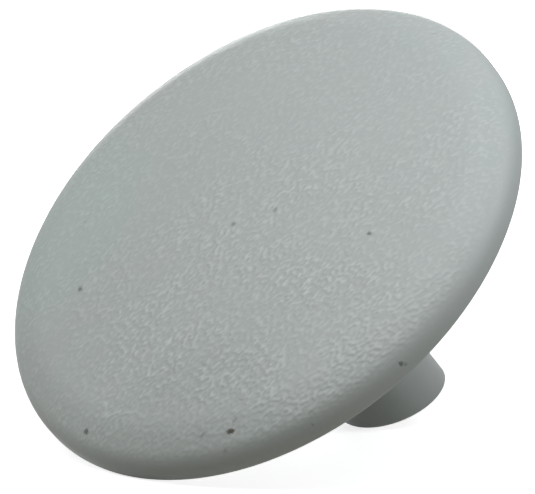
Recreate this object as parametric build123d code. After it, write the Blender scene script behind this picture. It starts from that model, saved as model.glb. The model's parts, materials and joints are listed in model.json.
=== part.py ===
from build123d import *
import math
import os

# Screw cover cap, moulded in one piece: a round head with a rounded rim and one round pin behind it.
# It is drawn upright about its own axis, with its seating edge at z = 0, its face up and its pin down.
# It is then laid down as it comes to rest loose on a table, on the rim's lower edge and the pin's end.

# Head: a crowned face, a sloping shoulder and a short upright side, with wide rounds between them
head_diameter = 20.0
side_height = 0.9
shoulder_width = 1.15
shoulder_slope = 25.0
crown_rise = 0.6
face_wall = 1.05
seat_edge_round = 0.12

# What the rounds leave straight of the side and of the shoulder
upright_band = 0.22
sloping_band = 0.25

# Hollow under the head, inside the ring that seats on the covered surface
seat_ring_width = 1.4
hollow_ramp = 0.5
hollow_round = 0.2

# Pin, measured from the seating edge to the middle of its end
pin_diameter = 4.0
pin_length = 9.25
pin_root_round = 0.5

# The pin's end is cut off out of square, and its edge is blunt
trim_angle = 20.0
tip_edge_round = 0.15

os.makedirs("parts", exist_ok=True)

head_radius = head_diameter / 2
pin_radius = pin_diameter / 2
hollow_radius = head_radius - seat_ring_width
face_radius = head_radius - shoulder_width
shoulder_top = side_height + shoulder_width * math.tan(math.radians(shoulder_slope))
crown_radius = (face_radius**2 + crown_rise**2) / (2 * crown_rise)
crown_centre = shoulder_top + crown_rise - crown_radius
trim_slope = math.tan(math.radians(trim_angle))

# Each round reaches equally far from its corner along the side or the face and along the shoulder
side_reach = side_height - upright_band - seat_edge_round
shoulder_reach = shoulder_width / math.cos(math.radians(shoulder_slope)) - side_reach - sloping_band
face_turn = shoulder_slope - math.degrees(math.asin(face_radius / crown_radius))
side_round = side_reach / math.tan(math.radians(90 - shoulder_slope) / 2)
shoulder_round = shoulder_reach / math.tan(math.radians(face_turn) / 2)


def face_height(radius):
    return crown_centre + math.sqrt(crown_radius**2 - radius**2)


def ceiling_height(radius):
    return face_height(radius) - face_wall


def nearest_corner(corners, radius, height):
    return min(corners, key=lambda corner: math.hypot(corner.X - radius, corner.Z - height))


# Half of the head's section, in the plane through the axis, from the middle of the face round the rim
def head_section():
    ramp_top = hollow_radius - hollow_ramp
    mid_face = face_radius / 2
    mid_ceiling = ramp_top / 2
    crown = ThreePointArc(
        (0, face_height(0)),
        (mid_face, face_height(mid_face)),
        (face_radius, shoulder_top),
    )
    rim_and_seat = Polyline(
        (face_radius, shoulder_top),
        (head_radius, side_height),
        (head_radius, 0),
        (hollow_radius, 0),
        (ramp_top, ceiling_height(ramp_top)),
    )
    ceiling = ThreePointArc(
        (ramp_top, ceiling_height(ramp_top)),
        (mid_ceiling, ceiling_height(mid_ceiling)),
        (0, ceiling_height(0)),
    )
    axis_side = Line((0, ceiling_height(0)), (0, face_height(0)))
    section = Plane.XZ * make_face([crown, rim_and_seat, ceiling, axis_side])
    rounds = [
        (face_radius, shoulder_top, shoulder_round),
        (head_radius, side_height, side_round),
        (head_radius, 0, seat_edge_round),
        (ramp_top, ceiling_height(ramp_top), hollow_round),
    ]
    for radius, height, size in rounds:
        section = fillet(nearest_corner(section.vertices(), radius, height), size)
    return section


# The head with its pin, whose root flares into the hollow's ceiling
def upright_cap():
    head = revolve(head_section(), Axis.Z)
    root = ceiling_height(0) + face_wall / 2
    rough_length = root + pin_length + pin_diameter
    pin = Pos(0, 0, root) * Cylinder(
        pin_radius,
        rough_length,
        align=(Align.CENTER, Align.CENTER, Align.MAX),
    )
    cap = head + pin
    return fillet(new_edges(head, pin, combined=cap), pin_root_round)


# The cutter that trims the pin: everything beyond a plane that leans towards the table side, -Y
def trimmed(cap):
    trim_plane = Plane(origin=(0, 0, -pin_length), z_dir=(0, -trim_slope, -1))
    waste = trim_plane * Box(
        2 * head_diameter,
        2 * head_diameter,
        2 * pin_length,
        align=(Align.CENTER, Align.CENTER, Align.MIN),
    )
    cap = cap - waste
    end_face = cap.faces().sort_by(Axis.Z)[0]
    return fillet(end_face.edges(), tip_edge_round)


# The angle of the face to the table, from the line that touches the two rounded edges below
def lying_angle():
    lean = math.radians(trim_angle)
    short_side = pin_length - pin_radius * trim_slope
    tip_centre_height = tip_edge_round * (1 - math.sin(lean)) / math.cos(lean) - short_side
    across = head_radius - seat_edge_round - (pin_radius - tip_edge_round)
    down = seat_edge_round - tip_centre_height
    uneven_edges = math.asin((seat_edge_round - tip_edge_round) / math.hypot(across, down))
    return math.degrees(math.atan2(down, across) - uneven_edges)


cap = trimmed(upright_cap())
cap = Rot(X=lying_angle()) * cap
box = cap.bounding_box()
cap = Pos(0, -box.center().Y, -box.min.Z) * cap

cap.label = "cover_cap"
export_step(cap, "parts/cover_cap.step")
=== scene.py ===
import json
import math

import bpy
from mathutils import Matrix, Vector

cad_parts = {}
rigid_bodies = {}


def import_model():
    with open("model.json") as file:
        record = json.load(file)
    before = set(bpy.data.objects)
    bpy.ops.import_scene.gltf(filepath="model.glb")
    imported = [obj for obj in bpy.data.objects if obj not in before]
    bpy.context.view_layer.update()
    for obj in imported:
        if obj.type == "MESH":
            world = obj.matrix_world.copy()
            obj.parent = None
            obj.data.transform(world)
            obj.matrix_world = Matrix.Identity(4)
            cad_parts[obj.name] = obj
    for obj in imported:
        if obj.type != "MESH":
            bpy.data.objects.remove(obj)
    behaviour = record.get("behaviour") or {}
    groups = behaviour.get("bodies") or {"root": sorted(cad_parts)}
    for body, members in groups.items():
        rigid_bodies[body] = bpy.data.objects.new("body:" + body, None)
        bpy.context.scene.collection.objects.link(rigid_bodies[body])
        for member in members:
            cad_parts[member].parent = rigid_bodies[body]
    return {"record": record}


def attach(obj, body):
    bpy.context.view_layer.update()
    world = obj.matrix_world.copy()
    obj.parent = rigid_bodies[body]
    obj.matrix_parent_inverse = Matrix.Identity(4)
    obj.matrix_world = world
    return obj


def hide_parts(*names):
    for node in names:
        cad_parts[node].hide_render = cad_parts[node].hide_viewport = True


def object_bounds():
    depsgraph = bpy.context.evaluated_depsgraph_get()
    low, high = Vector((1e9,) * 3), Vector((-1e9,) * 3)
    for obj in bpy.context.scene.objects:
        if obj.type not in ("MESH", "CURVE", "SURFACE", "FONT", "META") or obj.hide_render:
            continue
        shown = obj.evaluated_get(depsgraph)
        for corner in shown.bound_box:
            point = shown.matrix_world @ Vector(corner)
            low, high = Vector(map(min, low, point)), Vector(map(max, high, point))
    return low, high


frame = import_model()
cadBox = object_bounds()
print("frame loaded")

mm = 0.001
white = (1, 1, 1, 1)

# The cap's own axes: their origin is in the middle of the seating edge and Z points out of the face
mounts = {mount["name"]: mount for mount in frame["record"]["mounts"]}
seatAxis = Vector(mounts["seat"]["axis"])
seatPlace = Vector((0, *mounts["seat"]["pos_m"][1:]))
lean = math.atan2(seatAxis.y, -seatAxis.z)


# Small helpers

class Flow:  # a node's output, which takes part in sums as a number does
    def __init__(self, tree, socket=None):
        self.tree = tree
        self.socket = socket

    def node(self, kind, settings=None, inputs=None, output=0):
        made = self.tree.nodes.new("ShaderNode" + kind)
        for name, value in (settings or {}).items():
            setattr(made, name, value)
        for name, value in (inputs or {}).items():
            if isinstance(value, Flow):
                self.tree.links.new(value.socket, made.inputs[name])
            else:
                made.inputs[name].default_value = value
        return Flow(self.tree, made.outputs[output] if made.outputs else None)

    def sum(self, operation, first, second):
        return self.node("Math", {"operation": operation}, {0: first, 1: second})

    def __add__(self, other):
        return self.sum("ADD", self, other)

    def __radd__(self, other):
        return self.sum("ADD", other, self)

    def __sub__(self, other):
        return self.sum("SUBTRACT", self, other)

    def __rsub__(self, other):
        return self.sum("SUBTRACT", other, self)

    def __mul__(self, other):
        return self.sum("MULTIPLY", self, other)

    def __rmul__(self, other):
        return self.sum("MULTIPLY", other, self)

    def vector(self, operation, first, second=(0, 0, 0), output=0):
        return self.node("VectorMath", {"operation": operation}, {0: first, 1: second}, output)

    def step(self, low, high, start=0.0, end=1.0):  # start below low, end above high, smooth between
        ends = {"Value": self, "From Min": low, "From Max": high, "To Min": start, "To Max": end}
        return self.node("MapRange", {"interpolation_type": "SMOOTHSTEP"}, ends)

    def blend(self, first, second):  # colours, by this value from 0 to 1
        return self.node("Mix", {"data_type": "RGBA"}, {0: self, 6: first, 7: second}, 2)


def newMaterial(name):
    made = bpy.data.materials.new(name)
    made.use_nodes = True
    made.node_tree.nodes.clear()
    return made, Flow(made.node_tree)


def pick(piece, wanted):  # selects the vertices whose place is wanted
    bpy.ops.mesh.select_all(action="DESELECT")
    bpy.ops.object.mode_set(mode="OBJECT")
    for vertex in piece.data.vertices:
        vertex.select = wanted(vertex.co)
    bpy.ops.object.mode_set(mode="EDIT")


def across(place):  # distance from the cap's axis
    return math.hypot(place.x, place.y)


def turnOnLathe(profile, steps):  # from one selected vertex at the profile's start
    for here, there in zip(profile, profile[1:]):
        move = (there[0] - here[0], 0, there[1] - here[1])
        bpy.ops.mesh.extrude_vertices_move(TRANSFORM_OT_translate={"value": move})
    bpy.ops.mesh.select_linked()
    bpy.ops.mesh.spin(
        steps=steps,
        angle=2 * math.pi,
        center=(0, 0, 0),
        axis=(0, 0, 1),
        use_auto_merge=True,
    )


# The cap, in mm and degrees, upright on its own axes

cap = {
    "headRadius": (cadBox[1].x - cadBox[0].x) / 2 / mm,
    "sideHeight": 0.9,
    "shoulderWidth": 1.15,
    "shoulderSlope": 25,
    "crownRise": 0.6,
    "faceWall": 1.05,
    "uprightBand": 0.22,  # what the rounds leave straight of the side
    "slopingBand": 0.25,  # and of the shoulder
    "seatEdgeRound": 0.12,
    "seatRingWidth": 1.4,
    "hollowRamp": 0.5,
    "hollowRound": 0.2,
    "ceilingRadii": (6.5, 5, 3.6),  # where the hollow's ceiling has its loops
    "pinRadius": mounts["pin"]["dims"]["r_mm"],
    "pinLength": 9.25,
    "pinRootRound": 0.5,
    "rootMargin": 0.2,  # ceiling that belongs to the pin's mesh, outside its root
    "trimAngle": 20,
    "tipEdgeRound": 0.15,
    "headSteps": 896,  # faces round the head, four times the face grid's side
    "pinSteps": 120,
    "upperRoundSteps": 8,
    "sideRoundSteps": 14,
    "seatRoundSteps": 5,
    "hollowRoundSteps": 5,
    "rootRoundSteps": 8,
    "tipRoundSteps": 4,
    "underFace": 1.2,  # a height over all of the hollow and under all of the face
    "smoothBelow": 28,  # sharper edges than this stay sharp
}


def faceRadius():
    return cap["headRadius"] - cap["shoulderWidth"]


def shoulderTop():
    return cap["sideHeight"] + cap["shoulderWidth"] * math.tan(math.radians(cap["shoulderSlope"]))


def crownRadius():
    return (faceRadius() ** 2 + cap["crownRise"] ** 2) / (2 * cap["crownRise"])


def crownCentre():
    return shoulderTop() + cap["crownRise"] - crownRadius()


def ceilingHeight(radius):
    return crownCentre() + math.sqrt(crownRadius() ** 2 - radius ** 2) - cap["faceWall"]


def arcPoints(centre, radius, start, end, steps):
    angles = [math.radians(start + (end - start) * i / steps) for i in range(steps + 1)]
    return [(centre[0] + radius * math.cos(a), centre[1] + radius * math.sin(a)) for a in angles]


def roundedCorner(before, corner, after, radius, steps):
    corner = Vector(corner)
    toBefore = (Vector(before) - corner).normalized()
    toAfter = (Vector(after) - corner).normalized()
    half = toBefore.angle(toAfter) / 2
    middle = corner + (toBefore + toAfter).normalized() * radius / math.sin(half)
    start = corner + toBefore * radius / math.tan(half)
    end = corner + toAfter * radius / math.tan(half)
    points = []
    for i in range(steps + 1):
        ray = (start - middle).slerp(end - middle, i / steps).normalized()
        points.append(tuple(middle + ray * radius))
    return points


# The rounds over and under the shoulder: the upper one runs into the crown, the lower one into the side
def shoulderRounds():
    slope = math.radians(cap["shoulderSlope"])
    downSlope = Vector((math.cos(slope), -math.sin(slope)))
    outOfSlope = Vector((math.sin(slope), math.cos(slope)))
    reach = cap["sideHeight"] - cap["uprightBand"] - cap["seatEdgeRound"]
    upperReach = cap["shoulderWidth"] / math.cos(slope) - reach - cap["slopingBand"]
    turn = slope - math.asin(faceRadius() / crownRadius())
    upperRound = upperReach / math.tan(turn / 2)
    sideRound = reach / math.tan((math.pi / 2 - slope) / 2)

    # The upper round's middle lies under the slope, and as far inside the crown as the round is large
    middle = Vector((faceRadius(), shoulderTop() - crownCentre())) - outOfSlope * upperRound
    along = middle.dot(downSlope)
    gap = middle.length_squared - (crownRadius() - upperRound) ** 2
    middle -= downSlope * (along + math.sqrt(along ** 2 - gap))
    start = math.degrees(math.atan2(middle.y, middle.x))
    middle.y += crownCentre()
    slopeUp = 90 - cap["shoulderSlope"]
    sideMiddle = (cap["headRadius"] - sideRound, cap["sideHeight"] - reach)
    points = arcPoints(middle, upperRound, start, slopeUp, cap["upperRoundSteps"])
    points += arcPoints(sideMiddle, sideRound, slopeUp, 0, cap["sideRoundSteps"])
    return points


# Half section of the head, from the face's edge round the rim and the hollow to the pin
def headProfile():
    edge = cap["seatEdgeRound"]
    points = shoulderRounds()
    points += arcPoints((cap["headRadius"] - edge, edge), edge, 0, -90, cap["seatRoundSteps"])

    hollowRadius = cap["headRadius"] - cap["seatRingWidth"]
    rampTop = hollowRadius - cap["hollowRamp"]
    points.append((hollowRadius, 0))
    points += roundedCorner(
        (hollowRadius, 0),
        (rampTop, ceilingHeight(rampTop)),
        (rampTop / 2, ceilingHeight(rampTop / 2)),
        cap["hollowRound"],
        cap["hollowRoundSteps"],
    )
    points += [(radius, ceilingHeight(radius)) for radius in cap["ceilingRadii"]]
    return points


# Half section of the pin, from the hollow's ceiling down past the place of its end
def pinProfile():
    rootRound = cap["pinRootRound"]
    rootRadius = cap["pinRadius"] + rootRound
    outside = rootRadius + cap["rootMargin"]
    root = (rootRadius, ceilingHeight(rootRadius) - rootRound)
    points = [(outside, ceilingHeight(outside))]
    points += arcPoints(root, rootRound, 90, 180, cap["rootRoundSteps"])
    points.append((cap["pinRadius"], -cap["pinLength"] - cap["pinRadius"]))
    return points


def makeCap():
    head = headProfile()
    pin = pinProfile()
    underFace = cap["underFace"]
    seed = 0.1  # a small plane, merged to the vertex that each profile starts from
    near = 0.01  # how far from a radius or a height a vertex still counts as on it
    onLoop = 0.001  # the same on the dense loop round the face
    bpy.ops.object.select_all(action="DESELECT")
    bpy.ops.mesh.primitive_plane_add(size=seed, location=(0, 0, 0))
    piece = bpy.context.object
    piece.name = "grainedCap"
    bpy.ops.object.mode_set(mode="EDIT")
    bpy.ops.mesh.select_mode(type="VERT")
    bpy.ops.mesh.merge(type="CENTER")
    bpy.ops.transform.translate(value=(head[0][0], 0, head[0][1]))
    turnOnLathe(head, cap["headSteps"])

    bpy.ops.mesh.select_all(action="DESELECT")
    bpy.ops.mesh.primitive_plane_add(size=seed, location=(pin[0][0], 0, pin[0][1]))
    bpy.ops.mesh.merge(type="CENTER")
    turnOnLathe(pin, cap["pinSteps"])
    print("rim, hollow and pin turned")

    # The ceiling's two loops, of the head and of the pin, are joined
    outer = head[-1][0]
    inner = pin[0][0]
    pick(piece, lambda p: inner - near < across(p) < outer + near and 0 < p.z < underFace)
    bpy.ops.mesh.bridge_edge_loops()

    # The pin is cut off out of square, and the cut's edge is blunted
    slope = math.tan(math.radians(cap["trimAngle"]))
    pick(piece, lambda p: across(p) < inner + near and p.z < underFace)
    bpy.ops.mesh.bisect(
        plane_co=(0, 0, -cap["pinLength"]),
        plane_no=(0, -slope, -1),
        use_fill=True,
        clear_outer=True,
    )
    tipTop = -cap["pinLength"] + cap["pinRadius"] * slope + near
    pick(piece, lambda p: p.z < tipTop)
    bpy.ops.mesh.bevel(
        offset=cap["tipEdgeRound"],
        segments=cap["tipRoundSteps"],
        profile=0.5,
        affect="EDGES",
    )
    print("pin trimmed")

    # The face is a grid inside the rim's loop, raised to its crown
    faceEdge = head[0][0]
    pick(piece, lambda p: abs(across(p) - faceEdge) < onLoop and p.z > underFace)
    bpy.ops.mesh.fill_grid(span=cap["headSteps"] // 4)
    pick(piece, lambda p: across(p) < faceEdge + onLoop and p.z > underFace)
    bpy.ops.mesh.hide(unselected=True)
    pick(piece, lambda p: across(p) < near and p.z > underFace)
    bpy.ops.transform.translate(
        value=(0, 0, crownRadius()),
        use_proportional_edit=True,
        proportional_edit_falloff="SPHERE",
        proportional_size=crownRadius(),
    )
    bpy.ops.mesh.select_all(action="SELECT")
    edgeLift = math.sqrt(crownRadius() ** 2 - faceEdge ** 2)
    bpy.ops.transform.translate(value=(0, 0, -edgeLift))
    bpy.ops.mesh.reveal()
    bpy.ops.mesh.select_all(action="SELECT")
    bpy.ops.mesh.remove_doubles(threshold=onLoop / 2)
    bpy.ops.mesh.normals_make_consistent(inside=False)
    bpy.ops.object.mode_set(mode="OBJECT")
    bpy.ops.object.shade_smooth_by_angle(angle=math.radians(cap["smoothBelow"]))
    print("face crowned")
    return piece


def layDown(piece):  # from upright in mm to where the cap lies, in metres
    piece.scale = (mm, mm, mm)
    piece.rotation_euler = (lean, 0, 0)
    piece.location = seatPlace
    bpy.ops.object.select_all(action="DESELECT")
    piece.select_set(True)
    bpy.context.view_layer.objects.active = piece
    bpy.ops.object.transform_apply(location=True, rotation=True, scale=True)


# Looks of the cap

plastic = {
    "colour": (0.482, 0.53, 0.52, 1),
    "cloudColour": (0.49, 0.527, 0.517, 1),  # faint patches
    "cloudsPerMm": 0.7,
    "cloudFrom": 0.35,
    "cloudWhole": 0.65,
    "roughness": 0.5,
    "specular": 0.3,
    "grainsPerMm": 7.9,
    "grainStretch": 1.5,  # the grain is a little longer one way
    "grainTurn": 59,
    "grainHeight": 0.039,
    "noiseTurn": (0.6, 0.4, 0.3),  # radians, so that the noise's own cells don't line up with the face
    "hollowShade": 0.965,  # painted shade between the grain's bumps
    "hollowBelow": 0.4,
    "peakShade": 1.235,  # painted glints on their tops
    "peakAbove": 0.85,
    "sideGrain": 0.15,  # what the rim, the underside and the pin have of it
    "grainFrom": 0.7,  # mm above the seat, where the face's grain starts
    "grainWhole": 1.2,
    "patchesPerMm": 0.55,  # where the grain is stronger or weaker
    "patchShift": (5, 2, 9),
    "patchFrom": 0.38,
    "patchWhole": 0.6,
    "weakPatch": 0.6,  # what is left of the grain outside the patches
    "sharpest": (2.8, -4.4, 1.5),  # the grain is whole round here, and weaker the further away
    "sharpWithin": 2,  # mm from there
    "wornBeyond": 9.5,
    "wornGrain": 0.55,
}

# How the edges of the small marks, the greener patch and the painted shade fade
dirtAndShade = {
    "wholeWithin": 0.35,  # as a share of the mark's size
    "goneBeyond": 1.25,
    "raggedPerMm": 14.0,
    "raggedness": 0.12,  # mm that a small mark's edge wanders
}

# A lighter greener patch, painted shade, and small marks: place on the cap in mm, half length, half width,
# turn of the long way, depth, colour
# Painted shade, darker near the face's edge on the -Y side
edgeShade = (0.24, 0.265, 0.255, 1)
# A lighter, greener patch near the face's edge on the -X side
tinge = (0.482, 0.555, 0.536, 1)
tintAndShade = [
    ((-8.00, -1.60, 1.40), 5.00, 3.60, 90, 0.9, tinge),
    ((2.20, -7.60, 1.20), 3.90, 2.70, 35, 0.13, edgeShade),
]
soot = (0.06, 0.05, 0.03, 1)
dust = (0.12, 0.13, 0.125, 1)
marks = [
    ((4.26, -8.23, 1.24), 0.19, 0.10, 20, 0.95, soot),
    ((4.30, -7.85, 1.37), 0.16, 0.07, 66, 0.30, soot),
    ((3.25, -8.57, 1.29), 0.14, 0.08, 50, 0.35, dust),
    ((-5.30, -3.95, 1.70), 0.16, 0.10, 149, 0.75, dust),
    ((0.17, -0.66, 2.03), 0.11, 0.11, 131, 0.55, dust),
    ((1.60, 0.15, 2.02), 0.14, 0.12, 104, 0.42, dust),
    ((5.90, -0.16, 1.77), 0.11, 0.10, 28, 0.75, dust),
    ((-1.88, -9.19, 1.19), 0.13, 0.13, 37, 0.85, dust),
    ((4.19, -8.82, 0.93), 0.09, 0.07, 20, 0.35, dust),
    ((9.00, -4.28, 0.58), 0.09, 0.13, 66, 0.85, dust),
    ((9.07, -4.19, 0.46), 0.07, 0.11, 66, 0.40, dust),
    ((6.89, -7.14, 0.69), 0.05, 0.09, 40, 0.45, dust),
    ((-6.96, -1.17, 1.66), 0.09, 0.07, 38, 0.22, dust),
    ((3.30, 8.71, 1.22), 0.11, 0.07, 96, 0.20, dust),
    ((4.16, -7.11, 1.52), 0.18, 0.07, 171, 0.28, dust),
    ((1.99, -6.13, 1.72), 0.15, 0.04, 147, 0.30, dust),
]


def turnedMapping(flow, vector, values):  # measures the vector in axes that have this place, turn and size
    return flow.node("Mapping", {"vector_type": "TEXTURE"}, {"Vector": vector, **values})


def painted(flow, place, under, mark):  # the colour under the mark, with the mark on it
    middle, halfLength, halfWidth, turn, depth, colour = mark
    own = turnedMapping(flow, place, {
        "Location": middle,
        "Rotation": (0, 0, math.radians(turn)),
        "Scale": (halfLength, halfWidth, (halfLength + halfWidth) / 2),
    })
    shape = flow.vector("LENGTH", own, output=1).step(dirtAndShade["wholeWithin"], dirtAndShade["goneBeyond"], 1.0, 0.0)
    return (shape * depth).blend(under, colour)


# Spark-eroded grain on the face, weaker further from one place: its noise, and how strong it is at each place
def grainNoise(flow, place):
    turn = (0, 0, math.radians(plastic["grainTurn"]))
    drawn = turnedMapping(flow, place, {"Rotation": turn, "Scale": (plastic["grainStretch"], 1, 1)})
    turned = flow.node("Mapping", {}, {"Vector": drawn, "Rotation": plastic["noiseTurn"]})
    shifted = flow.vector("ADD", turned, plastic["patchShift"])
    patches = flow.node("TexNoise", {}, {"Vector": shifted, "Scale": plastic["patchesPerMm"], "Detail": 1.0})
    patchy = patches.step(plastic["patchFrom"], plastic["patchWhole"], plastic["weakPatch"], 1.0)

    height = flow.node("SeparateXYZ", {}, {"Vector": place}, "Z")
    grained = height.step(plastic["grainFrom"], plastic["grainWhole"], plastic["sideGrain"], 1.0)
    away = flow.vector("DISTANCE", place, plastic["sharpest"], 1)
    # The grain, with its painted glints and shade, fades further from the sharpest place
    fading = away.step(plastic["sharpWithin"], plastic["wornBeyond"], 1.0, plastic["wornGrain"])
    grain = flow.node("TexNoise", {}, {"Vector": turned, "Scale": plastic["grainsPerMm"], "Detail": 0.0})
    return grain, grained * fading * patchy


def plasticMaterial():
    made, flow = newMaterial("grainedPlastic")
    coordinates = flow.node("TexCoord", output="Object")
    place = turnedMapping(flow, coordinates, {  # mm on the cap's own axes
        "Location": seatPlace,
        "Rotation": (lean, 0, 0),
        "Scale": (mm, mm, mm),
    })
    grain, strength = grainNoise(flow, place)
    relief = grain * plastic["grainHeight"] * strength
    bump = flow.node("Bump", {}, {"Strength": 1.0, "Distance": mm, "Height": relief})
    # The grain's tone: painted glints on the bumps' tops and painted shade between them
    glintAndShadeTone = grain.step(
        plastic["hollowBelow"],
        plastic["peakAbove"],
        plastic["hollowShade"],
        plastic["peakShade"],
    )
    glintAndShade = 1 + (glintAndShadeTone - 1) * strength

    clouds = flow.node("TexNoise", {}, {"Vector": place, "Scale": plastic["cloudsPerMm"], "Detail": 2.0})
    cloudy = clouds.step(plastic["cloudFrom"], plastic["cloudWhole"])
    colour = cloudy.blend(plastic["colour"], plastic["cloudColour"])
    # The lighter greener patch, and the painted shade near the face's edge
    for broadMark in tintAndShade:
        colour = painted(flow, place, colour, broadMark)
    # The colour is scaled by the grain's painted glints and painted shade
    colour = flow.node("VectorMath", {"operation": "SCALE"}, {"Vector": colour, "Scale": glintAndShade})

    # The small marks have ragged edges
    noise = {"Vector": place, "Scale": dirtAndShade["raggedPerMm"], "Detail": 1.0}
    ragged = flow.node("TexNoise", {}, noise, "Color")
    shift = flow.vector("SUBTRACT", ragged, (0.5, 0.5, 0.5))
    wandering = flow.vector("ADD", place, flow.vector("MULTIPLY", shift, [dirtAndShade["raggedness"]] * 3))
    for mark in marks:
        colour = painted(flow, wandering, colour, mark)

    shader = flow.node(
        "BsdfPrincipled",
        {},
        {
            "Base Color": colour,
            "Roughness": plastic["roughness"],
            "Specular IOR Level": plastic["specular"],
            "Normal": bump,
        },
    )
    flow.node("OutputMaterial", {}, {"Surface": shader})
    return made


# Surroundings: a pale floor that glows white to the camera and throws its own tint back at the cap

surroundings = {
    "floorTint": (0.3, 0.29, 0.25, 1),  # what the floor throws back at the cap
    "floorWhite": (0.8, 0.8, 0.8, 1),  # what the camera sees, under the glow
    "floorGlow": 0.74,  # near the cap, where its shadow lies
    "farGlow": 1.0,
    "glowFrom": 15,  # mm from the middle
    "glowTo": 60,
    "floorSize": 3000,  # mm
}


def seenDirectly(flow):  # 1 for camera, glossy and transmission rays
    kinds = ("Is Camera Ray", "Is Glossy Ray", "Is Transmission Ray")
    direct, glossy, through = [flow.node("LightPath", output=kind) for kind in kinds]
    seen = direct + glossy + through
    return seen.sum("MINIMUM", seen, 1.0)


def floorMaterial():
    made, flow = newMaterial("paleFloor")
    bounce = flow.node("BsdfDiffuse", {}, {"Color": surroundings["floorTint"]})
    pale = flow.node("BsdfDiffuse", {}, {"Color": surroundings["floorWhite"]})
    away = flow.vector("LENGTH", flow.node("TexCoord", output="Object"), output=1)
    strength = away.step(
        surroundings["glowFrom"] * mm,
        surroundings["glowTo"] * mm,
        surroundings["floorGlow"],
        surroundings["farGlow"],
    )
    glow = flow.node("Emission", {}, {"Color": white, "Strength": strength})
    paper = flow.node("AddShader", {}, {0: pale, 1: glow})
    surface = flow.node("MixShader", {}, {0: seenDirectly(flow), 1: bounce, 2: paper})
    flow.node("OutputMaterial", {}, {"Surface": surface})
    return made


def makeFloor():
    bpy.ops.object.select_all(action="DESELECT")
    bpy.ops.mesh.primitive_plane_add(size=surroundings["floorSize"] * mm, location=(0, 0, 0))
    floor = bpy.context.object
    floor.name = "floor"
    floor.data.materials.append(floorMaterial())


def makeWorld():
    world = bpy.data.worlds.new("studio")
    world.use_nodes = True
    world.node_tree.nodes.clear()
    flow = Flow(world.node_tree)
    backdrop = flow.node("Background", {}, {"Color": white, "Strength": seenDirectly(flow)})
    flow.node("OutputWorld", {}, {"Surface": backdrop})
    bpy.context.scene.world = world


# Camera and lamps

camera = {
    "azimuth": 42.225,  # degrees, 0 looks along +Y
    "elevation": 8.698,
    "distance": 150,  # mm from the seat's middle, along the view
    "aimBelow": 0.127,  # mm that the aim lies under the seat's middle
    "lens": 289.23,  # mm
    "clipStart": 10,  # mm
}

# Each lamp's place is in mm from the seat's middle: to the right, up and near, as the camera sees it
plainWhite = (1, 1, 1)
coolWhite = (0.97, 1, 1.06)
lamps = {
    "key": {"right": -45, "up": 90, "near": 45, "size": 100, "power": 0.0868, "colour": plainWhite},
    "side": {"right": 30, "up": 29, "near": 17, "size": 20, "power": 0.0039, "colour": coolWhite},
    "front": {"right": 43, "up": 26, "near": 36, "size": 50, "power": 0.0088, "colour": plainWhite},
    # Behind the cap, for the underside and the pin
    "back": {"right": -12, "up": 38, "near": -121, "size": 50, "power": 0.08, "colour": plainWhite},
}


def viewAxes():
    azimuth = math.radians(camera["azimuth"])
    elevation = math.radians(camera["elevation"])
    forward = Vector((
        -math.sin(azimuth) * math.cos(elevation),
        math.cos(azimuth) * math.cos(elevation),
        -math.sin(elevation),
    ))
    right = Vector((math.cos(azimuth), math.sin(azimuth), 0))
    return right, right.cross(forward), forward


def putInScene(name, data, place, forward):  # a camera or a lamp that looks along forward
    body = bpy.data.objects.new(name, data)
    bpy.context.scene.collection.objects.link(body)
    body.location = place
    body.rotation_euler = forward.to_track_quat("-Z", "Y").to_euler()
    return body


def makeCamera():
    right, up, forward = viewAxes()
    data = bpy.data.cameras.new("camera")
    data.lens = camera["lens"]
    data.clip_start = camera["clipStart"] * mm
    place = seatPlace - (forward * camera["distance"] + up * camera["aimBelow"]) * mm
    bpy.context.scene.camera = putInScene("camera", data, place, forward)


def makeLamps():
    right, up, forward = viewAxes()
    for name, lamp in lamps.items():
        toLamp = right * lamp["right"] + up * lamp["up"] - forward * lamp["near"]
        data = bpy.data.lights.new(name, "AREA")
        data.shape = "DISK"
        data.size = lamp["size"] * mm
        data.energy = lamp["power"]
        data.color = lamp["colour"]
        body = putInScene(name, data, seatPlace + toLamp * mm, -toLamp)
        body.visible_camera = False


bpy.context.scene.view_settings.view_transform = "Standard"
makeCamera()
makeLamps()
makeWorld()
makeFloor()
print("stage set")

skin = makeCap()
layDown(skin)
skin.data.materials.append(plasticMaterial())
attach(skin, "root")
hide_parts("cover_cap")
print("cap made", len(skin.data.polygons))
